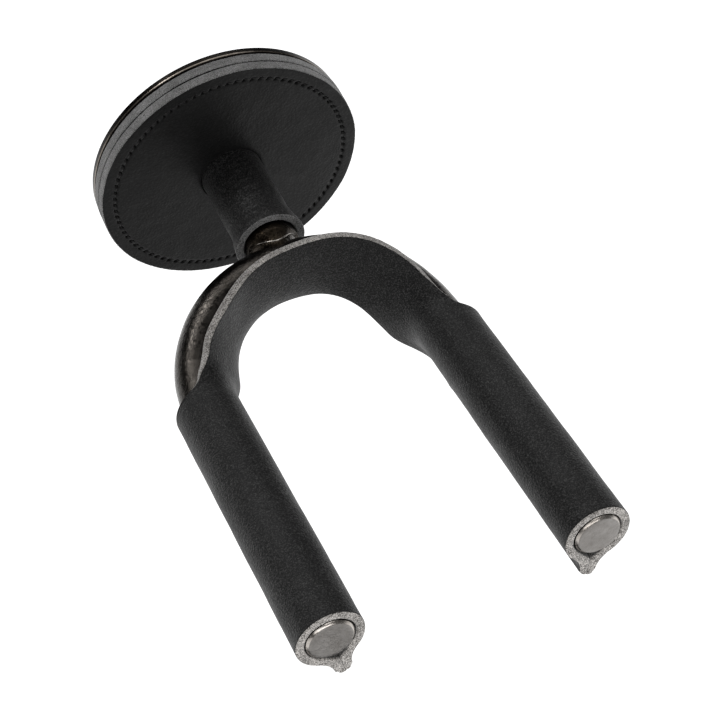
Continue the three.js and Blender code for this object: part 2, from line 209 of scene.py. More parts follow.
def grey(value, warm=0.0):
    """A grey, with red raised and blue lowered by the warm share."""
    return (value * (1 + warm), value, value * (1 - warm), 1.0)


def grain_leather(name, dark, light, rough, pebble, gloss, depth=0.11, specks_and_glints=0.0):
    """Black dyed grain leather: fine pebbles, pores, faint creases, worn lighter high spots and small painted
    highlights.
    """
    s = Shader(name)
    warp = s.node("TexNoise", "Color", {"Vector": s.place, "Scale": 1 / (2.2 * MM), "Detail": 1.0})
    shift = s.node("VectorMath", 0, {0: warp, 1: (0.5, 0.5, 0.5)}, operation="SUBTRACT")
    small = s.node("VectorMath", 0, {0: shift, "Scale": 0.9 * MM}, operation="SCALE")
    place = s.node("VectorMath", 0, {0: s.place, 1: small}, operation="ADD")
    pebbles = s.cells(pebble, place)
    fine = s.cells(pebble * 0.42, place)
    pores = s.noise(0.22, 1.0)
    crease = s.noise(6.5, 3.0, 0.55, place=s.stretched(1.0, 0.55, 1.0))
    patches = s.noise(16.0, 3.0, 0.6)
    domes = s.span(pebbles, 0.0, 0.75, 1.0, 0.0, smooth=True)
    domes_fine = s.span(fine, 0.0, 0.8, 1.0, 0.0)
    height = s.math("ADD", s.math("MULTIPLY", domes, 0.62), s.math("MULTIPLY", domes_fine, 0.26))
    height = s.math("ADD", height, s.math("MULTIPLY", pores, 0.12))
    normal = s.bump(crease, 0.5, 0.35)
    normal = s.bump(height, depth, 0.8, below=normal)
    lightened = s.math("MULTIPLY", s.span(height, 0.45, 0.95), s.span(patches, 0.35, 0.72))
    tone = s.mix(lightened, grey(dark), grey(light, 0.012))
    mottle = s.span(s.noise(3.0, 4.0, 0.65), 0.3, 0.7)
    tone = s.mix(s.math("MULTIPLY", mottle, 0.35), tone, grey(dark * 0.6))
    if specks_and_glints:
        specks = s.span(s.noise(0.44, 2.0, 0.65), 0.42, 0.58)
        tone = s.mix(s.math("MULTIPLY", specks, specks_and_glints), tone, grey(dark * 0.15))
        # Small lighter spots in the colour are painted highlights.
        painted_glints = s.span(s.noise(0.36, 2.0, 0.6), 0.50, 0.64)
        tone = s.mix(s.math("MULTIPLY", painted_glints, specks_and_glints), tone, grey(light * 2.3, 0.01))
    s.set(Base_Color=tone, Normal=normal)
    s.set(Roughness=s.math("ADD", s.span(patches, 0.3, 0.7, rough - 0.05, rough + 0.07),
                           s.span(height, 0.2, 0.9, 0.06, -0.04)))
    s.set(Specular_IOR_Level=gloss, Sheen_Weight=0.04, Sheen_Roughness=0.4)
    return s


def cut_leather(name, dark, light, warm=0.03, fibre=(1.0, 1.0, 1.0)):
    """Raw cut edge or flesh side: packed fibres with dye soaked into the pits."""
    s = Shader(name)
    place = s.stretched(*fibre)
    coarse = s.noise(1.1, 4.0, 0.7, place=place)
    grains = s.cells(0.42, place, feature="F1")
    specks = s.noise(0.28, 3.0, 0.75, place=place)
    streak = s.noise(5.0, 2.0)
    share = s.math("ADD", s.math("MULTIPLY", coarse, 0.25), s.math("MULTIPLY", specks, 0.75))
    share = s.math("ADD", s.span(share, 0.40, 0.60), s.span(streak, 0.3, 0.7, -0.2, 0.2), clamp=True)
    pits = s.span(s.math("ADD", s.math("MULTIPLY", grains, 0.6), s.math("MULTIPLY", specks, 0.4)), 0.2, 0.62)
    tone = s.mix(share, grey(dark, warm), grey(light, warm))
    soaked = s.span(s.noise(0.30, 2.0, 0.6, place=place), 0.52, 0.57)
    tone = s.mix(s.math("MULTIPLY", soaked, 0.9), tone, grey(dark * 0.2, warm * 6))
    s.set(Base_Color=tone, Roughness=0.94, Specular_IOR_Level=0.2)
    s.set(Sheen_Weight=0.35, Sheen_Roughness=0.6)
    s.set(Normal=s.bump(pits, 0.16, 0.8, below=s.bump(coarse, 0.25, 0.5)))
    return s


def steel(name, dark, light, rough=0.3, brush=None, pitting=0.0, warm=0.05):
    """Bare or smoke-blackened steel with tool marks, tarnish and worn patches."""
    s = Shader(name)
    cloud = s.noise(7.0, 4.0, 0.62)
    fine = s.noise(0.7, 3.0, 0.7)
    spots = s.noise(1.3, 4.0, 0.72)
    share = s.math("ADD", s.math("MULTIPLY", cloud, 0.6), s.math("MULTIPLY", spots, 0.4))
    tone = s.mix(s.span(share, 0.36, 0.64), grey(dark, warm), grey(light, warm * 0.6))
    s.set(Base_Color=tone, Metallic=1.0)
    worn = s.span(s.noise(2.6, 3.0, 0.6), 0.35, 0.7, rough - 0.04, rough + 0.07)
    s.set(Roughness=s.math("ADD", worn, s.span(fine, 0.3, 0.7, -0.05, 0.07)))
    marks = fine
    if brush is not None:
        marks = s.noise(0.5, 2.0, 0.6, place=s.stretched(*brush))
    normal = s.bump(marks, 0.05, 0.35)
    if pitting:
        normal = s.bump(s.span(spots, 0.42, 0.6), 0.14, pitting, below=normal)
    s.set(Normal=normal)
    return s


def thread_finish(name):
    """Waxed black thread with its plies showing as slanted ridges."""
    s = Shader(name)
    plies = s.node("TexWave", "Fac", {
        "Vector": s.place,
        "Scale": 1 / (2.6 * MM),
        "Distortion": 1.5,
        "Detail": 2.0,
    }, bands_direction="DIAGONAL")
    fuzz = s.noise(0.15, 2.0)
    tone = s.mix(plies, grey(0.004), grey(0.014, 0.01))
    s.set(Base_Color=tone, Roughness=s.span(fuzz, 0.3, 0.7, 0.5, 0.7), Sheen_Weight=0.05)
    s.set(Specular_IOR_Level=0.3)
    s.set(Sheen_Roughness=0.5, Normal=s.bump(plies, 0.08, 0.7, below=s.bump(fuzz, 0.03, 0.5)))
    return s


def moulded_nylon(name):
    """Off-white nylon for the bushing inside the post."""
    s = Shader(name)
    cloud = s.noise(3.0, 3.0)
    fine = s.noise(0.3, 2.0)
    s.set(Base_Color=s.mix(cloud, (0.72, 0.68, 0.56, 1), (0.82, 0.79, 0.70, 1)))
    s.set(Roughness=s.span(fine, 0.3, 0.7, 0.5, 0.65), Subsurface_Weight=0.15)
    s.set(Normal=s.bump(fine, 0.03, 0.4))
    return s


# ---- mesh helpers -------------------------------------------------------------------
def make_piece(name, points, faces, finishes, face_finish=None, body="yoke",
               nodes=(), on_arm=True, sharp=40.0):
    """A mesh from millimetre points, riding on its body and standing for its CAD nodes."""
    points = np.asarray(points, float)
    if on_arm:
        points = points @ ARM.T
    mesh = bpy.data.meshes.new(name)
    mesh.from_pydata((points * MM).tolist(), [], [tuple(int(i) for i in f) for f in faces])
    mesh.validate()
    for finish in finishes:
        mesh.materials.append(finish.material)
    if face_finish is not None:
        mesh.polygons.foreach_set("material_index", np.asarray(face_finish, np.int32))
    mesh.polygons.foreach_set("use_smooth", np.ones(len(mesh.polygons), bool))
    mesh.set_sharp_from_angle(angle=math.radians(sharp))
    obj = bpy.data.objects.new(name, mesh)
    bpy.context.scene.collection.objects.link(obj)
    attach(obj, body)
    if nodes:
        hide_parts(*nodes)
    return obj


def grid_faces(rows, columns, wrap_rows=False, wrap_columns=False):
    """Quads of a grid whose point (i, j) is number i * columns + j."""
    i = np.arange(rows if wrap_rows else rows - 1)
    j = np.arange(columns if wrap_columns else columns - 1)
    i, j = np.meshgrid(i, j, indexing="ij")
    i2 = (i + 1) % rows
    j2 = (j + 1) % columns
    quads = np.stack([i * columns + j, i * columns + j2, i2 * columns + j2, i2 * columns + j], -1)
    return quads.reshape(-1, 4)


def smooth_step(value, low, high):
    """A soft step from 0 at low to 1 at high."""
    t = np.clip((value - low) / (high - low), 0, 1)
    return t * t * (3 - 2 * t)


def wobble(points, size, seed):
    """Smooth noise from -1 to 1 at each point, with blobs of about this size."""
    scale = 1 / size
    shift = Vector((seed * 13.7, seed * 5.3, seed * 9.1))
    return np.array([noise.noise(Vector(p) * scale + shift) for p in np.asarray(points, float)])


def turned_points(profile, angles):
    """Points of a turned shape about the Y axis, profile given as (radius, out)."""
    profile = np.asarray(profile, float)
    radius = profile[:, 0][None, :]
    out = profile[:, 1][None, :]
    a = np.asarray(angles)[:, None]
    return np.stack([radius * np.sin(a), -out + 0 * a, radius * np.cos(a)], -1)


def arc(centre, radius, start, end, steps):
    """Points of an arc between two angles in degrees."""
    angles = np.radians(np.linspace(start, end, steps))
    return [(centre[0] + radius * math.cos(a), centre[1] + radius * math.sin(a)) for a in angles]


def cylinder_bead(path, radius, sides=8, taper=0.6):
    """Points and faces of a closed bead swept along a short path, its ends drawn in."""
    path = np.asarray(path, float)
    count = len(path)
    along = np.gradient(path, axis=0)
    along /= np.linalg.norm(along, axis=1)[:, None]
    side = np.cross(along, np.array([0.13, 0.31, 0.94]))
    side /= np.linalg.norm(side, axis=1)[:, None]
    up = np.cross(side, along)
    t = np.linspace(-1, 1, count)
    size = radius * (1 - (1 - taper) * np.abs(t) ** 4)
    turn = np.linspace(0, 2 * math.pi, sides, endpoint=False)
    rings = (path[:, None] + size[:, None, None] * (np.cos(turn)[None, :, None] * side[:, None]
             + np.sin(turn)[None, :, None] * up[:, None]))
    points = np.concatenate([rings.reshape(-1, 3), path[:1], path[-1:]])
    faces = [list(q) for q in grid_faces(count, sides, wrap_columns=True)]
    first, last = count * sides, count * sides + 1
    for j in range(sides):
        k = (j + 1) % sides
        faces.append([first, k, j])
        faces.append([last, (count - 1) * sides + j, (count - 1) * sides + k])
    return points, faces


def merge_beads(beads):
    """All the beads' points and faces as one mesh."""
    points, faces, start = [], [], 0
    for bead_points, bead_faces in beads:
        points.append(bead_points)
        faces += [[i + start for i in f] for f in bead_faces]
        start += len(bead_points)
    return np.concatenate(points), faces


# ---- finishes -----------------------------------------------------------------------
cover_grain = grain_leather("cover_grain_leather", dark=0.004, light=0.010, rough=0.45, pebble=0.8,
                            gloss=0.18, depth=0.07, specks_and_glints=0.25)
yoke_grain = grain_leather("yoke_grain_leather", dark=0.006, light=0.020, rough=0.48, pebble=0.62,
                           gloss=0.27, depth=0.2, specks_and_glints=1.0)
sleeve_grain = grain_leather("sleeve_grain_leather", dark=0.006, light=0.024, rough=0.42, pebble=0.6,
                             gloss=0.26, depth=0.2, specks_and_glints=1.0)
cover_cut = cut_leather("cover_cut_edge", dark=0.06, light=0.36, warm=0.01, fibre=(1.0, 2.6, 1.0))
# The yoke sheet's cut edge comes in two copies: a paler one on the prong ends, painted light, and a darker
# one on the strip, painted shade.
yoke_cut = cut_leather("yoke_cut_edge", dark=0.15, light=0.88, warm=0.05)
strip_shaded_cut = cut_leather("strip_cut_edge_painted_shade", dark=0.12, light=0.62, warm=0.05)
sleeve_cut = cut_leather("sleeve_cut_edge", dark=0.08, light=0.34, warm=0.01)
flesh = cut_leather("leather_flesh_side", dark=0.07, light=0.30, warm=0.03)
smoke_steel = steel("smoke_steel", dark=0.013, light=0.062, rough=0.17, pitting=0.3, warm=0.16)
# The collar's steel is a darker copy of the smoke steel: painted shade.
collar_shaded_steel = steel("collar_smoke_steel_painted_shade", dark=0.006, light=0.035, rough=0.2, pitting=0.5, warm=0.4)
end_steel = steel("ground_end_steel", dark=0.165, light=0.27, rough=0.34, brush=(1.0, 1.0, 9.0), pitting=0.3,
                  warm=0.07)
# The plate's steel is a darker copy of the smoke steel: painted shade.
plate_shaded_steel = steel("plate_smoke_steel_painted_shade", dark=0.003, light=0.010, rough=0.3, warm=0.2)
# Light steel on the collar's bead and the bar ends' chamfers paints their highlight lines.
edge_highlight_steel = steel("edge_painted_highlight_steel", dark=0.30, light=0.55, rough=0.24, warm=0.1)
# Lighter steel where the plate's rim turns over paints its highlight line.
rim_highlight_steel = steel("plate_rim_painted_highlight", dark=0.08, light=0.24, rough=0.28, warm=0.2)
plain_steel = steel("plain_steel", dark=0.38, light=0.55, rough=0.34, warm=0.01)
nylon = moulded_nylon("moulded_nylon")
thread = thread_finish("waxed_thread")


# ---- wall plate and cover -----------------------------------------------------------
def cut_away(piece, points, faces):
    """Take a closed shape, given in millimetres, out of a piece."""
    cutter_mesh = bpy.data.meshes.new("cutter")
    cutter_mesh.from_pydata((points * MM).tolist(), [], faces)
    cutter = bpy.data.objects.new("cutter", cutter_mesh)
    bpy.context.scene.collection.objects.link(cutter)
    cut = piece.modifiers.new("cut", "BOOLEAN")
    cut.operation = "DIFFERENCE"
    cut.solver = "EXACT"
    cut.object = cutter
    bpy.context.view_layer.update()
    done = bpy.data.meshes.new_from_object(piece.evaluated_get(bpy.context.evaluated_depsgraph_get()))
    piece.modifiers.clear()
    piece.data = done
    bpy.data.objects.remove(cutter)


def build_plate():
    """Turned plate with a rounded rim and countersunk screw holes."""
    inner_edge = PLATE_RADIUS - PLATE_EDGE_ROUND
    rim = arc((inner_edge, PLATE_THICKNESS - PLATE_EDGE_ROUND), PLATE_EDGE_ROUND, 0, 90, 9)
    profile = [(SPIGOT_HOLE_RADIUS, 0.15), (SPIGOT_HOLE_RADIUS + 0.15, 0), (PLATE_RADIUS - 0.4, 0)]
    profile += [(PLATE_RADIUS, 0.4)] + rim
    profile += [(SPIGOT_HOLE_RADIUS + 0.3, PLATE_THICKNESS), (SPIGOT_HOLE_RADIUS, PLATE_THICKNESS - 0.3)]
    count = 256
    angles = np.linspace(0, 2 * math.pi, count, endpoint=False)
    points = turned_points(profile, angles).reshape(-1, 3)
    faces = grid_faces(count, len(profile), wrap_rows=True, wrap_columns=True)
    # These rows take the lighter steel, a painted highlight line.
    lightened = [4 <= k < 6 for k in range(len(profile))]  # where the rim starts to turn over
    plate = make_piece("smoke_steel_plate", points, faces, [plate_shaded_steel, rim_highlight_steel],
                       np.tile(np.array(lightened, int), count), body="wall_side",
                       nodes=["wall_plate"], on_arm=False)
    cone = SCREW_HEAD_RADIUS - SCREW_HOLE_RADIUS
    past = 1.0
    sink = [(SCREW_HOLE_RADIUS, -past), (SCREW_HOLE_RADIUS, PLATE_THICKNESS - cone),
            (SCREW_HEAD_RADIUS, PLATE_THICKNESS), (SCREW_HEAD_RADIUS, PLATE_THICKNESS + past)]
    sides = 64
    size = len(sink)
    points = turned_points(sink, np.linspace(0, 2 * math.pi, sides, endpoint=False)).reshape(-1, 3)
    points[:, 2] += SCREW_CIRCLE_RADIUS
    faces = [list(q) for q in grid_faces(sides, size, wrap_rows=True)]
    faces.append([size * k for k in range(sides)])
    faces.append([size * k + size - 1 for k in reversed(range(sides))])
    for i in range(SCREW_COUNT):
        turn = np.array(Matrix.Rotation(2 * math.pi * i / SCREW_COUNT, 3, "Y"))
        cut_away(plate, points @ turn.T, faces)
    plate.data.name = "smoke_steel_plate"
    return plate


def disc_profile(low, high, fine_at=None):
    """Closed profile of a leather disc: face, soft cut edge, back and the post's hole."""
    edge = 0.35
    outer = COVER_RADIUS
    faces_out = list(np.linspace(COVER_HOLE_RADIUS + 0.3, outer - 1.2, 26))
    if fine_at is not None:
        near = np.arange(fine_at - 1.2, fine_at + 1.21, 0.13)
        faces_out = [r for r in faces_out if abs(r - fine_at) > 1.3] + list(near)
        faces_out.sort()
    profile = [(COVER_HOLE_RADIUS, high - 0.3)]
    profile += [(r, high) for r in faces_out]
    profile += arc((outer - edge, high - edge), edge, 90, 0, 5)
    profile += [(outer, h) for h in np.linspace(high - edge - 0.3, low + edge + 0.3, 6)]
    profile += arc((outer - edge, low + edge), edge, 0, -90, 5)
    profile += [(COVER_HOLE_RADIUS + 0.3, low), (COVER_HOLE_RADIUS, low + 0.3)]
    return np.array(profile)


def stitch_angles():
    """Where the cover's stitches start, in radians from straight up."""
    return (np.arange(STITCH_COUNT) + 0.35) * 2 * math.pi / STITCH_COUNT


def build_disc(name, node, low, high, seed, stitched):
    """One leather disc, with a row of sewn holes in a shallow channel if it is stitched."""
    profile = disc_profile(low, high, STITCH_RADIUS if stitched else None)
    count = 1440 if stitched else 480
    angles = np.linspace(0, 2 * math.pi, count, endpoint=False)
    points = turned_points(profile, angles)
    radius = np.broadcast_to(profile[:, 0][None, :], points.shape[:2])
    out = np.broadcast_to(profile[:, 1][None, :], points.shape[:2])
    on_face = smooth_step(out, high - 0.05, high)
    if stitched:
        pitch = 2 * math.pi / STITCH_COUNT
        phase = (angles[:, None] - stitch_angles()[0] + pitch / 2) % pitch - pitch / 2
        across = radius - STITCH_RADIUS
        along = phase * STITCH_RADIUS
        channel = 0.14 * np.exp(-(across / 0.6) ** 2)
        slant = along - 0.55 * across
        pit = 1.0 * np.exp(-((across / 0.52) ** 4 + (slant / 0.50) ** 4))
        points[..., 1] += on_face * (channel + pit)
    flat = points.reshape(-1, 3)
    swell = wobble(flat, 14.0, seed) * 0.12 + wobble(flat, 3.0, seed + 1) * 0.035
    flat[:, 1] -= on_face.reshape(-1) * swell
    rough_edge = smooth_step(radius.reshape(-1), COVER_RADIUS - 0.5, COVER_RADIUS - 0.2)
    frayed = wobble(flat, 0.5, seed + 2) * 0.07 + wobble(flat, 9.0, seed + 3) * 0.12
    stretch = 1 + rough_edge * frayed / COVER_RADIUS
    flat[:, 0] *= stretch
    flat[:, 2] *= stretch
    faces = grid_faces(count, len(profile), wrap_rows=True, wrap_columns=True)
    middle = profile[(faces[:len(profile)] % len(profile))].mean(1)
    is_cut = middle[:, 0] > COVER_RADIUS - 0.22
    face_finish = np.tile(is_cut.astype(int), count)
    return make_piece(name, flat, faces, [cover_grain, cover_cut], face_finish, body="wall_side",
                      nodes=[node], on_arm=False, sharp=60)


def build_cover_stitches():
    """Each stitch lies in the channel and dives into a hole at both ends."""
    beads = []
    starts = stitch_angles()
    pitch = 2 * math.pi / STITCH_COUNT
    for k, begin in enumerate(starts):
        t = np.linspace(0, 1, 9)
        angle = begin + pitch * t
        dive = 0.95 * (np.abs(2 * t - 1) ** 2.6)
        radius = STITCH_RADIUS + 0.16 * (t - 0.5) + 0.08 * math.sin(7.3 * k)
        out = COVER_FRONT_TO - 0.34 - dive
        path = np.stack([radius * np.sin(angle), -out, radius * np.cos(angle)], -1)
        beads.append(cylinder_bead(path, STITCH_BEAD))
    points, faces = merge_beads(beads)
    return make_piece("cover_stitches", points, faces, [thread], body="wall_side",
                      nodes=["cover_thread"], on_arm=False)


# ---- post sleeve --------------------------------------------------------------------
def build_sleeve():
    """Leather tube butted underneath, with raw cut ends and soft creases."""
    edge = 0.3
    mouth = SLEEVE_INNER + MOUTH_FLARE
    wall = [(mouth, MOUTH_END), (SLEEVE_INNER, MOUTH_START), (SLEEVE_INNER, SLEEVE_START + edge)]
    wall += [(SLEEVE_INNER + edge, SLEEVE_START)]
    wall += [(SLEEVE_OUTER - edge, SLEEVE_START)]
    wall += arc((SLEEVE_OUTER - edge, SLEEVE_START + edge), edge, -60, 0, 4)
    rim = SLEEVE_OUTER + MOUTH_FLARE
    for out in np.linspace(SLEEVE_START + 0.8, SLEEVE_END - 0.6, 120):
        opened = smooth_step(out, MOUTH_START - 3, SLEEVE_END + 1)
        wall.append((SLEEVE_OUTER + MOUTH_FLARE * opened, out))
    wall += arc((rim - edge, SLEEVE_END - edge), edge, 0, 90, 5)
    wall += [(r, SLEEVE_END) for r in np.linspace(rim - 0.6, mouth + 0.5, 5)]
    wall += [(mouth + 0.15, SLEEVE_END - 0.1), (mouth, SLEEVE_END - edge)]
    profile = np.array(wall)
    count = 320
    angles = np.linspace(0, 2 * math.pi, count, endpoint=False)
    points = turned_points(profile, angles)
    radius = np.broadcast_to(profile[:, 0][None, :], points.shape[:2]).reshape(-1)
    out = np.broadcast_to(profile[:, 1][None, :], points.shape[:2]).reshape(-1)
    turn = np.broadcast_to(angles[:, None], points.shape[:2]).reshape(-1)
    flat = points.reshape(-1, 3)
    outside = smooth_step(radius, SLEEVE_OUTER - 0.5, SLEEVE_OUTER - 0.05)
    seam = np.abs((turn - math.pi) * SLEEVE_OUTER)
    groove = 0.55 * np.exp(-(seam / 0.35) ** 2)
    ripple = np.sin(out * 1.9 + 1.6 * np.sin(turn) + 2.5 * wobble(flat, 6, 32))
    crease = 0.05 * ripple * smooth_step(wobble(flat, 7, 31), 0.0, 0.4)
    swell = wobble(flat, 9.0, 30) * 0.14 + crease - groove
    scale = 1 + outside * swell / SLEEVE_OUTER
    flat[:, 0] *= scale
    flat[:, 2] *= scale
    at_end = smooth_step(out, SLEEVE_END - 0.12, SLEEVE_END)
    flat[:, 1] -= at_end * wobble(flat, 0.6, 33) * 0.06
    faces = grid_faces(count, len(profile), wrap_rows=True, wrap_columns=True)
    middle = profile[(faces[:len(profile)] % len(profile))].mean(1)
    is_cut = (middle[:, 1] > SLEEVE_END - 0.12) | (middle[:, 1] < SLEEVE_START + 0.1)
    in_mouth = (middle[:, 0] < mouth + 0.2) & (middle[:, 1] > MOUTH_START)
    is_cut |= (middle[:, 0] < SLEEVE_INNER + 0.2) | in_mouth
    return make_piece("post_leather_sleeve", flat, faces, [sleeve_grain, sleeve_cut],
                      np.tile(is_cut.astype(int), count), body="wall_side",
                      nodes=["post_sleeve"], sharp=60)


def build_sleeve_stitches():
    """Crossed stitches that draw the sleeve's edges together underneath."""
    beads = []
    pairs = 8
    start = SLEEVE_START + 3
    pitch = (MOUTH_START - SLEEVE_START - 3.6) / pairs
    for k in range(pairs):
        for side in (-1, 1):
            t = np.linspace(-1, 1, 9)
            across = side * t * 1.7
            out = start + pitch * (k + 0.5) + t * pitch * 0.36
            height = SLEEVE_OUTER + 0.30 - 0.75 * np.abs(t) ** 6 + (0.12 if side > 0 else 0.0)
            angle = math.pi + across / SLEEVE_OUTER
            path = np.stack([height * np.sin(angle), -out, height * np.cos(angle)], -1)
            beads.append(cylinder_bead(path, STITCH_BEAD))
    points, faces = merge_beads(beads)
    return make_piece("sleeve_stitches", points, faces, [thread], body="wall_side",
                      nodes=["sleeve_thread"])


# ---- yoke: the bar's line -----------------------------------------------------------
def bar_height(back):
    """Height of the bar's middle at this distance behind the shoulders."""
    share = np.maximum(0, back) / BEND_DEPTH
    return -SHOULDER_DROP - back * math.tan(PRONG_SLOPE) + BACK_LIFT * share * share


def bar_line(step=0.25):
    """The bar's centre line from the left tip to the right one, evenly spaced."""
    turn = np.linspace(0, math.pi, 6001)
    power = 2 / BEND_POWER
    x = -np.sign(np.cos(turn)) * np.abs(np.cos(turn)) ** power * HALF_WIDTH
    back = BEND_DEPTH * np.clip(np.sin(turn), 0, 1) ** power
    bend = np.stack([x, back - SHOULDER_OUT, bar_height(back)], -1)
    out = np.linspace(TIP_OUT, SHOULDER_OUT, 400)[:-1]
    left = np.stack([np.full_like(out, -HALF_WIDTH), -out, bar_height(SHOULDER_OUT - out)], -1)
    right = left[::-1] * np.array([-1, 1, 1])
    line = np.concatenate([left, bend, right])
    length = np.concatenate([[0], np.cumsum(np.linalg.norm(np.diff(line, axis=0), axis=1))])
    half = length[-1] / 2
    count = int(round(half / step))
    place = np.linspace(-half, half, 2 * count + 1)
    even = np.stack([np.interp(place + half, length, line[:, k]) for k in range(3)], -1)
    width = 12
    kernel = np.hanning(2 * width + 3)[1:-1]
    kernel /= kernel.sum()
    soft = np.stack([np.convolve(even[:, k], kernel, "same") for k in range(3)], -1)
    edge = width + 1
    soft[:edge] = even[:edge]
    soft[-edge:] = even[-edge:]
    return place, soft


LINE_AT, LINE = bar_line()
HALF_LENGTH = LINE_AT[-1]
ALONG = np.gradient(LINE, axis=0)
ALONG /= np.linalg.norm(ALONG, axis=1)[:, None]
INWARD = np.cross(ALONG, np.array([0.0, 0.0, 1.0]))
INWARD /= np.linalg.norm(INWARD, axis=1)[:, None]
UPWARD = np.cross(INWARD, ALONG)
SHOULDER_AT = HALF_LENGTH - (TIP_OUT - SHOULDER_OUT) / math.cos(PRONG_SLOPE)


def on_line(field, u):
    """A field that is known along the bar's line, read at these distances from its middle."""
    return np.stack([np.interp(u, LINE_AT, field[:, k]) for k in range(3)], -1)


def build_bar():
    """Forged round bar with ground and chamfered ends."""
    u = np.arange(-HALF_LENGTH + 1.2, HALF_LENGTH - 1.19, 0.9)
    u = np.linspace(-HALF_LENGTH + 1.2, HALF_LENGTH - 1.2, len(u))
    chamfer = [(0.0, 0.0), (2.4, 0.0), (4.6, 0.0), (BAR_RADIUS - TIP_CHAMFER - 0.12, 0.0),
               (BAR_RADIUS - TIP_CHAMFER + 0.06, 0.08), (BAR_RADIUS - 0.08, TIP_CHAMFER - 0.06),
               (BAR_RADIUS, TIP_CHAMFER + 0.12)]
    stations = [(-HALF_LENGTH + back, radius) for radius, back in chamfer]
    stations += [(at, BAR_RADIUS) for at in u]
    stations += [(HALF_LENGTH - back, radius) for radius, back in reversed(chamfer)]
    sides = 96
    turn = np.linspace(0, 2 * math.pi, sides, endpoint=False)
    at = np.array([s[0] for s in stations])
    radius = np.array([max(s[1], 0.02) for s in stations])
    centre = on_line(LINE, at)
    ring = (np.cos(turn)[None, :, None] * on_line(INWARD, at)[:, None]
            + np.sin(turn)[None, :, None] * on_line(UPWARD, at)[:, None])
    points = centre[:, None] + radius[:, None, None] * ring
    flat = points.reshape(-1, 3)
    on_side = np.repeat((radius > BAR_RADIUS - 0.01), sides)
    flat += (ring.reshape(-1, 3) * (on_side * (wobble(flat, 6, 40) * 0.07))[:, None])
    faces = [list(q) for q in grid_faces(len(stations), sides, wrap_columns=True)]
    # The chamfer ring takes the lighter steel, a painted highlight line.
    at_chamfer = 4
    from_end = [min(i // sides, len(stations) - 2 - i // sides) for i in range(len(faces))]
    finish = [2 if place == at_chamfer else 1 if place < at_chamfer else 0 for place in from_end]
    faces.append(list(range(sides)))
    faces.append(list(reversed(range((len(stations) - 1) * sides, len(stations) * sides))))
    finish += [1, 1]
    return make_piece("forged_yoke_bar", flat, faces, [smoke_steel, end_steel, edge_highlight_steel], finish,
                      nodes=["yoke_bar"], sharp=32)


# ---- yoke leather -------------------------------------------------------------------
MID = WRAP_INNER + LEATHER / 2
FILLET_MID = FIN_FILLET + LEATHER / 2
FILLET_FROM = math.asin((FIN_HALF + FIN_FILLET) / (MID + FILLET_MID))
LOW_HUG = MID * (math.pi / 2 - FIN_LEAN - FILLET_FROM)
HIGH_HUG = MID * (math.pi * 1.5 + FIN_LEAN - FILLET_FROM)
FILLET_LONG = FILLET_MID * (math.pi / 2 - FILLET_FROM)
FIN_STRAIGHT = FIN_REACH - math.cos(FILLET_FROM) * (MID + FILLET_MID)
LOW_END = -(LOW_HUG + FILLET_LONG + FIN_STRAIGHT)
HIGH_END = HIGH_HUG + FILLET_LONG + FIN_STRAIGHT

# How the strip stands round the bend: stations are distances from its middle, left to right.
# The four STRIP_ rows come from a least-squares fit in another script, adjusted by hand.
STATIONS = (-60, -42, -24, -8, 8, 24, 42, 60)
STRIP_LEAN = (20, 22, 1, -8, -3, 17, 21, 18)  # degrees that its upper part leans over the bar
STRIP_CURL = (0.03, 0.01, 0.0, 0.02, 0.015, 0.0, 0.03, 0.05)  # one over the curl's radius
STRIP_TOP = (11.6, 12.4, 13.6, 14.6, 15.0, 14.2, 13.2, 12.0)  # width above the bar's middle
STRIP_LOW = (10.5, 9.0, 7.4, 6.3, 6.3, 6.7, 9.8, 11.0)  # and below it
TUCK = 0.05  # curl of the strip's lower part
REAR_LEFT = -1.0  # where each wrap's rear edge lies past the shoulder
REAR_RIGHT = 1.5
LOW_START_LEFT = 7.0  # where the lower edge starts to widen into the fin
LOW_START_RIGHT = 1.0
STRIP_SHADE_END = 12.0  # past the shoulder the cut edge changes from the strip's darker copy, painted shade, to the paler copy of the prong ends, painted light
S_STEP = 0.1
S_GRID = np.arange(-18, 46.01, S_STEP)


def along_strip(values, u):
    """A smooth curve through one value per station."""
    at = np.array(STATIONS, float)
    v = np.concatenate([[values[0]], values, [values[-1]]]).astype(float)
    k = np.clip(np.searchsorted(at, u) - 1, 0, len(at) - 2)
    t = np.clip((u - at[k]) / (at[k + 1] - at[k]), 0, 1)
    a, b, c, d = v[k], v[k + 1], v[k + 2], v[k + 3]
    return 0.5 * (2 * b + (c - a) * t + (2 * a - 5 * b + 4 * c - d) * t ** 2
                  + (3 * b - a - 3 * c + d) * t ** 3)


def tube_bend(s):
    """Curvature across the sheet where it is closed round the prong."""
    bend = np.where((s > -LOW_HUG) & (s < HIGH_HUG), 1 / MID, 0.0)
    low = (s <= -LOW_HUG) & (s > -LOW_HUG - FILLET_LONG)
    high = (s >= HIGH_HUG) & (s < HIGH_HUG + FILLET_LONG)
    return np.where(low | high, -1 / FILLET_MID, bend)


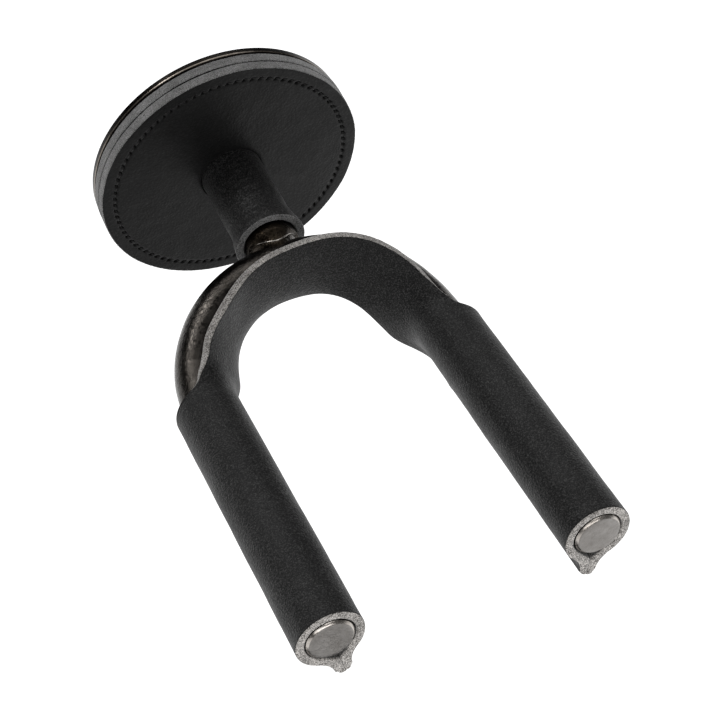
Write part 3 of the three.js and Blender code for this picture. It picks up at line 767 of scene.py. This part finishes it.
def sheet_surface():
    """Middle surface of the leather sheet over its flat coordinates (u along, s across)."""
    u = LINE_AT[::2]
    past = np.abs(u) - SHOULDER_AT
    upper = smooth_step(past, -14, 0)
    lower = smooth_step(past, -13, 8)
    tube = tube_bend(S_GRID)
    curl = along_strip(STRIP_CURL, u)[:, None]
    strip = np.where(S_GRID[None, :] > 0, curl, TUCK)
    share = np.where(S_GRID[None, :] > 0, upper[:, None], lower[:, None])
    bend = tube[None, :] * share + strip * (1 - share)
    lean = np.radians(along_strip(STRIP_LEAN, u)) * (1 - upper)
    zero = int(round(-S_GRID[0] / S_STEP))
    heading = np.cumsum(bend, axis=1) * S_STEP
    heading = heading - heading[:, zero:zero + 1] + math.pi / 2 + lean[:, None]
    p = np.cumsum(np.cos(heading), axis=1) * S_STEP
    q = np.cumsum(np.sin(heading), axis=1) * S_STEP
    p = p - p[:, zero:zero + 1] + MID
    q = q - q[:, zero:zero + 1]
    near = (S_GRID > -9) & (S_GRID < 13)
    flesh_p = (p - np.sin(heading) * LEATHER / 2)[:, near]
    flesh_q = (q + np.cos(heading) * LEATHER / 2)[:, near]
    p += np.maximum(0, WRAP_INNER - np.hypot(flesh_p, flesh_q)).max(axis=1)[:, None]
    centre, inward, upward = on_line(LINE, u), on_line(INWARD, u), on_line(UPWARD, u)
    points = centre[:, None] + p[..., None] * inward[:, None] + q[..., None] * upward[:, None]
    return u, points


SHEET_U, SHEET = sheet_surface()


def on_sheet(u, s):
    """Points of the middle surface at flat coordinates, by blending the four around."""
    fu = (u - SHEET_U[0]) / (SHEET_U[1] - SHEET_U[0])
    fs = (s - S_GRID[0]) / S_STEP
    iu = np.clip(np.floor(fu).astype(int), 0, len(SHEET_U) - 2)
    js = np.clip(np.floor(fs).astype(int), 0, len(S_GRID) - 2)
    tu = (fu - iu)[..., None]
    ts = (fs - js)[..., None]
    return (SHEET[iu, js] * (1 - tu) * (1 - ts) + SHEET[iu + 1, js] * tu * (1 - ts)
            + SHEET[iu, js + 1] * (1 - tu) * ts + SHEET[iu + 1, js + 1] * tu * ts)


def sheet_normal(u, s):
    """Unit normal on the grain side."""
    du = on_sheet(u + 0.6, s) - on_sheet(u - 0.6, s)
    ds = on_sheet(u, s + 0.15) - on_sheet(u, s - 0.15)
    normal = np.cross(ds, du)
    normal /= np.linalg.norm(normal, axis=-1)[..., None]
    return -normal


def rounded(points, radius, steps=8):
    """A polyline with its inner corners rounded, as flat (u, s) points."""
    points = [np.array(p, float) for p in points]
    out = [points[0]]
    for before, here, after in zip(points, points[1:], points[2:]):
        a = before - here
        b = after - here
        reach = min(radius, np.linalg.norm(a) * 0.49, np.linalg.norm(b) * 0.49)
        start = here + a / np.linalg.norm(a) * reach
        end = here + b / np.linalg.norm(b) * reach
        for t in np.linspace(0, 1, steps):
            out.append((1 - t) ** 2 * start + 2 * t * (1 - t) * here + t * t * end)
    out.append(points[-1])
    return np.array(out)


def spaced(line, places):
    """Points of a polyline at these shares of its length."""
    length = np.concatenate([[0], np.cumsum(np.linalg.norm(np.diff(line, axis=0), axis=1))])
    at = np.asarray(places) * length[-1]
    return np.stack([np.interp(at, length, line[:, k]) for k in range(2)], -1)


def half_outline(side):
    """Flat top and bottom edges of one half of the sheet, from the bend to the tip."""
    w = SHOULDER_AT
    tip = HALF_LENGTH - WRAP_SETBACK
    rear = w + (REAR_LEFT if side < 0 else REAR_RIGHT)
    bend_end = rear - 8
    at = np.linspace(0, bend_end, 60)
    strip_top = np.stack([at, along_strip(STRIP_TOP, side * at)], -1)
    strip_low = np.stack([at, -along_strip(STRIP_LOW, side * at)], -1)
    last = strip_top[-1, 1]
    corner = rounded([strip_top[-1], (rear - 1.2, last + 1.0), (rear + 0.4, last + 8),
                      (rear + 2.2, HIGH_END - 6), (rear + 3.0, HIGH_END - 0.2), (rear + 9, HIGH_END)], 4.0)
    start = w + (LOW_START_LEFT if side < 0 else LOW_START_RIGHT)
    corner_low = rounded([strip_low[-1], (start, -along_strip(STRIP_LOW, side * start) - 0.6),
                          (start + 8, LOW_END), (start + 13, LOW_END)], 5)
    tube_top = np.array([(rear + 9, HIGH_END), (tip, HIGH_END)])
    tube_low = np.array([(start + 13, LOW_END), (tip, LOW_END)])
    tops, lows = [], []
    for top, low, count in ((strip_top, strip_low, 90), (corner, corner_low, 120), (tube_top, tube_low, 130)):
        shares = np.linspace(0, 1, count + 1)
        keep = count + 1 if low is tube_low else count
        tops.append(spaced(top, shares)[:keep])
        lows.append(spaced(low, shares)[:keep])
    return np.concatenate(tops), np.concatenate(lows)


def fin_axes(u):
    """Directions across and down the fins at these distances from the bar's middle."""
    inward, upward = on_line(INWARD, u), on_line(UPWARD, u)
    across = inward * math.cos(FIN_LEAN) + upward * math.sin(FIN_LEAN)
    down = inward * math.sin(FIN_LEAN) - upward * math.cos(FIN_LEAN)
    return across, down


def pressed(points, u):
    """Flesh-side points with the fin's two layers drawn together on its middle plane."""
    u = np.asarray(u).reshape(-1)
    across, down = fin_axes(u)
    flat = points.reshape(-1, 3)
    away = flat - on_line(LINE, u)
    depth = np.einsum("ij,ij->i", away, down)
    off = np.einsum("ij,ij->i", away, across)
    closed = smooth_step(np.abs(u) - SHOULDER_AT, 0, 6)
    pull = smooth_step(depth, 6.9, 8.6) * closed * smooth_step(-np.abs(off), -4.5, -3.2)
    return (flat - across * (pull * (off + np.sign(off) * 0.01))[:, None]).reshape(points.shape)


def build_yoke_leather():
    """One cut sheet: a strip lining the bend that widens into a wrap round each prong."""
    left_top, left_low = half_outline(-1)
    right_top, right_low = half_outline(1)
    flip = np.array([-1, 1])
    top = np.concatenate([left_top[::-1] * flip, right_top[1:]])
    low = np.concatenate([left_low[::-1] * flip, right_low[1:]])
    across = 72
    share = np.linspace(0, 1, across + 1)
    columns = len(top)
    flat_uv = low[:, None] + share[None, :, None] * (top - low)[:, None]
    u, s = flat_uv[..., 0], flat_uv[..., 1]
    middle = on_sheet(u, s)
    normal = sheet_normal(u, s)
    half = LEATHER / 2
    swell = (wobble(middle.reshape(-1, 3), 11, 50) * 0.10
             + wobble(middle.reshape(-1, 3), 4.0, 51) * 0.04).reshape(u.shape)
    outer = middle + normal * (half + swell)[..., None]
    inner = pressed(middle - normal * (half - 0.02), u)
    rows = across + 1
    loop = [(i, 0) for i in range(columns)]
    loop += [(columns - 1, j) for j in range(1, rows)]
    loop += [(i, rows - 1) for i in range(columns - 2, -1, -1)]
    loop += [(0, j) for j in range(rows - 2, 0, -1)]
    loop = np.array(loop)
    edge = middle[loop[:, 0], loop[:, 1]]
    edge_normal = normal[loop[:, 0], loop[:, 1]]
    edge_swell = swell[loop[:, 0], loop[:, 1]]
    run = np.roll(edge, -1, axis=0) - np.roll(edge, 1, axis=0)
    run /= np.maximum(np.linalg.norm(run, axis=1), 1e-9)[:, None]
    away = np.cross(run, edge_normal)
    away /= np.linalg.norm(away, axis=1)[:, None]
    centre_share = middle[np.clip(loop[:, 0], 1, columns - 2), np.clip(loop[:, 1], 1, rows - 2)]
    wrong = np.einsum("ij,ij->i", away, edge - centre_share) < 0
    away[wrong] *= -1
    profile = [(-0.42, 1.0), (-0.14, 0.93), (0.0, 0.76), (0.03, 0.38), (0.04, 0.0), (0.03, -0.38),
               (0.0, -0.76), (-0.14, -0.93), (-0.42, -1.0)]
    band = []
    edge_u = u[loop[:, 0], loop[:, 1]]
    flesh_edge = edge - edge_normal * half
    drawn = pressed(flesh_edge, edge_u) - flesh_edge
    long_edge = np.abs(loop[:, 1] - across / 2) > across / 2 - 1
    at_fin = smooth_step(np.abs(edge_u) - SHOULDER_AT, 8, 14) * long_edge
    for reach, height in profile:
        fin_reach = 0.35 - 1.5 * max(0.0, (height + 0.35) / 1.35) ** 2.2
        out = (reach * (1 - at_fin) + fin_reach * at_fin)[:, None]
        row = edge + away * out + edge_normal * (height * half + max(height, 0) * edge_swell)[:, None]
        row = row + drawn * (1 - height) / 2
        if abs(height) < 0.9:
            row = row + away * (wobble(row, 0.45, 52) * 0.10)[:, None]
        band.append(row)
    outer[loop[:, 0], loop[:, 1]] = band[0]
    inner[loop[:, 0], loop[:, 1]] = band[-1]
    size = columns * rows
    points = np.concatenate([outer.reshape(-1, 3), inner.reshape(-1, 3)] + band[1:-1])
    faces = [list(q) for q in grid_faces(columns, rows)]
    finish = [0] * len(faces)
    back = [[q[0] + size, q[3] + size, q[2] + size, q[1] + size] for q in grid_faces(columns, rows)]
    faces += back
    finish += [2] * len(back)
    number = loop[:, 0] * rows + loop[:, 1]
    count = len(loop)
    lines = [number]
    lines += [2 * size + k * count + np.arange(count) for k in range(len(band) - 2)]
    lines += [number + size]
    for k, (a, b) in enumerate(zip(lines, lines[1:])):
        for i in range(count):
            n = (i + 1) % count
            faces.append([a[i], b[i], b[n], a[n]])
            on_strip = abs(edge_u[i]) < SHOULDER_AT + STRIP_SHADE_END
            finish.append(0 if k == 0 else 3 if on_strip else 1)
    return make_piece("yoke_leather_wrap", points, faces, [yoke_grain, yoke_cut, flesh, strip_shaded_cut], finish,
                      nodes=["yoke_leather"], sharp=75)


def build_seam(side, name, node):
    """Stitches along both faces of the fin under a prong."""
    beads = []
    count = int((HALF_LENGTH - SHOULDER_AT - SEAM_MARGINS) / SEAM_PITCH)
    t = np.linspace(0, 1, 9)
    off = FIN_HALF - 0.04 - 0.7 * np.abs(2 * t - 1) ** 4
    for face in (-1, 1):
        for k in range(count):
            u = side * (SHOULDER_AT + SEAM_FROM + (k + t * 0.86) * SEAM_PITCH)
            across, down = fin_axes(u)
            path = on_line(LINE, u) + across * off[:, None] * face + down * (FIN_REACH - SEAM_INSET)
            beads.append(cylinder_bead(path, SEAM_BEAD))
    points, faces = merge_beads(beads)
    return make_piece(name, points, faces, [thread], nodes=[node])


# ---- stud collar --------------------------------------------------------------------
def build_stud():
    """Turned stud whose collar tapers, meets the back of the bar and ends there in a bead."""
    count = 160
    angles = np.linspace(0, 2 * math.pi, count, endpoint=False)
    bead = [(0.25, 1.3), (0.36, 1.2), (0.40, 1.05), (0.36, 0.9), (0.2, 0.8), (0.1, -0.3)]
    rows = []
    for angle in angles:
        z = POST_RADIUS * math.cos(angle)
        reach = YOKE_BACK - math.sqrt((BAR_RADIUS + COPE_EASE) ** 2 - z ** 2)
        end = max(COLLAR_SHOULDER + 1.0, reach)
        line = [(JOURNAL_RADIUS, COLLAR_START - JOURNAL_SHOWN), (JOURNAL_RADIUS, COLLAR_START)]
        line += [(COLLAR_BORE, COLLAR_START)]
        line += [(COLLAR_BORE, COLLAR_LIP + 0.2), (COLLAR_BORE + 0.2, COLLAR_LIP)]
        line += arc((COLLAR_RADIUS - 0.4, COLLAR_LIP + 0.4), 0.4, -90, 0, 5)
        line += [(COLLAR_RADIUS, out) for out in np.linspace(COLLAR_LIP + 0.8, COLLAR_SHOULDER, 6)]
        taper_end = min(COLLAR_TAPER_END, end - 0.7)
        for t in np.linspace(0.15, 1, 6):
            radius = COLLAR_RADIUS - (COLLAR_RADIUS - POST_RADIUS - 0.3) * float(smooth_step(t, 0, 1))
            line.append((radius, COLLAR_SHOULDER + (taper_end - COLLAR_SHOULDER) * t))
        line += [(POST_RADIUS + grow, end - back) for grow, back in bead]
        line += [(POST_RADIUS - 1.0, end + 1.2)]
        rows.append([(r * math.sin(angle), -out, r * math.cos(angle)) for r, out in line])
    points = np.array(rows)
    faces = grid_faces(count, points.shape[1], wrap_rows=True)
    flat = points.reshape(-1, 3)
    last = points.shape[1] - 1
    bead_from = last - len(bead)
    # The bead's rows take the lighter steel, a painted highlight line.
    on_bead = [bead_from <= k < bead_from + 4 for k in range(last)]
    return make_piece("swivel_stud_collar", flat, faces, [collar_shaded_steel, edge_highlight_steel],
                      np.tile(np.array(on_bead, int), count),
                      nodes=["swivel_stud"], sharp=50)


def assign(finish, *nodes):
    """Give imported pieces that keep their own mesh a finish."""
    for node in nodes:
        data = frame["nodes"][node].data
        data.materials.clear()
        data.materials.append(finish.material)


build_plate()
build_disc("cover_disc_back", "cover_back_leather", COVER_BACK_FROM, COVER_BACK_TO, 10, False)
build_disc("cover_disc_front", "cover_front_leather", COVER_FRONT_FROM, COVER_FRONT_TO, 20, True)
build_cover_stitches()
build_sleeve()
build_sleeve_stitches()
build_bar()
build_yoke_leather()
build_seam(-1, "left_seam_stitches", "left_seam_thread")
build_seam(1, "right_seam_stitches", "right_seam_thread")
build_stud()
assign(smoke_steel, "post_hub", "post", "thrust_washer")
assign(plain_steel, "hub_lock_screw", "retaining_screw", "spring_washer")
assign(nylon, "swivel_bushing")


# ---- floor, light and camera --------------------------------------------------------
STAGE_AIM = Vector((0.0, -0.085, 0.0))
FLOOR_LEVEL = -0.9
FLOOR_REACH = 30.0
WORLD_LIGHT = 0.12
# The flag keeps part of the floor's light off the cover and the strip.
FLAG_LEFT, FLAG_RIGHT = -0.25, 0.06
FLAG_FRONT, FLAG_BACK = -0.35, -0.12
FLAG_HEIGHT = -0.22


def area_light(name, place, size, power, tall=None):
    """A lamp aimed at the middle of the hanger, which the camera doesn't see."""
    data = bpy.data.lights.new(name, "AREA")
    data.energy = power
    data.shape = "RECTANGLE" if tall else "SQUARE"
    data.size = size
    if tall:
        data.size_y = tall
    light = bpy.data.objects.new(name, data)
    light.location = place
    light.rotation_euler = (STAGE_AIM - Vector(place)).to_track_quat("-Z", "Y").to_euler()
    bpy.context.scene.collection.objects.link(light)
    light.visible_camera = False


def stage_panel(name, finish, left, right, front, back, height):
    """A level rectangle of one finish that belongs to the stage."""
    mesh = bpy.data.meshes.new(name)
    corners = [(left, front, height), (right, front, height), (right, back, height), (left, back, height)]
    mesh.from_pydata(corners, [], [(0, 1, 2, 3)])
    panel = bpy.data.objects.new(name, mesh)
    bpy.context.scene.collection.objects.link(panel)
    mesh.materials.append(finish.material)
    return panel


def build_stage():
    """Glowing pale floor, black flag, faint world and the lamps."""
    pale = Shader("pale_floor").set(Base_Color=(0.9, 0.9, 0.9, 1), Roughness=0.9,
                                    Emission_Color=(1, 1, 1, 1), Emission_Strength=1.0)
    stage_panel("floor", pale, -FLOOR_REACH, FLOOR_REACH, -FLOOR_REACH, FLOOR_REACH, FLOOR_LEVEL)
    black = Shader("black_flag").set(Base_Color=(0.01, 0.01, 0.01, 1), Roughness=0.9)
    flag = stage_panel("black_flag", black, FLAG_LEFT, FLAG_RIGHT, FLAG_FRONT, FLAG_BACK, FLAG_HEIGHT)
    flag.visible_camera = False
    world = bpy.data.worlds.new("studio")
    world.use_nodes = True
    world.node_tree.nodes["Background"].inputs[0].default_value = (1, 1, 1, 1)
    world.node_tree.nodes["Background"].inputs[1].default_value = WORLD_LIGHT
    bpy.context.scene.world = world
    bpy.context.scene.view_settings.view_transform = "Standard"
    area_light("front_softbox", (-0.20, -0.95, 0.50), 1.1, 3.4, tall=0.35)
    area_light("top_strip", (0.22, -0.56, 0.92), 0.7, 1.3, tall=0.28)
    area_light("back_softbox", (-0.40, 0.50, 0.78), 0.26, 2.2)
    area_light("back_fill", (0.20, 0.60, 0.95), 0.9, 3.6)
    area_light("back_strip", (0.28, 0.72, 0.75), 0.25, 0.3, tall=0.05)


# The camera's place, directions, lens and shifts come from a perspective fit in another script.
CAMERA_PLACE = (-0.108156, -0.337478, 0.364740)
CAMERA_RIGHT = (0.91224, -0.40956, 0.00906)
CAMERA_FORWARD = (0.25602, 0.55272, -0.79307)
CAMERA_LENS = 88.62
CAMERA_SHIFT = (-0.0148, -0.00747)


def build_camera():
    """Long lens from above and in front, as in the photo."""
    data = bpy.data.cameras.new("photo_camera")
    data.lens = CAMERA_LENS
    data.sensor_width = 36
    data.shift_x, data.shift_y = CAMERA_SHIFT
    data.clip_start = 0.02
    camera = bpy.data.objects.new("photo_camera", data)
    right = Vector(CAMERA_RIGHT).normalized()
    back = -Vector(CAMERA_FORWARD).normalized()
    up = back.cross(right).normalized()
    turn = Matrix((up.cross(back), up, back)).transposed()
    camera.matrix_world = Matrix.Translation(CAMERA_PLACE) @ turn.to_4x4()
    bpy.context.scene.collection.objects.link(camera)
    bpy.context.scene.camera = camera


build_stage()
build_camera()
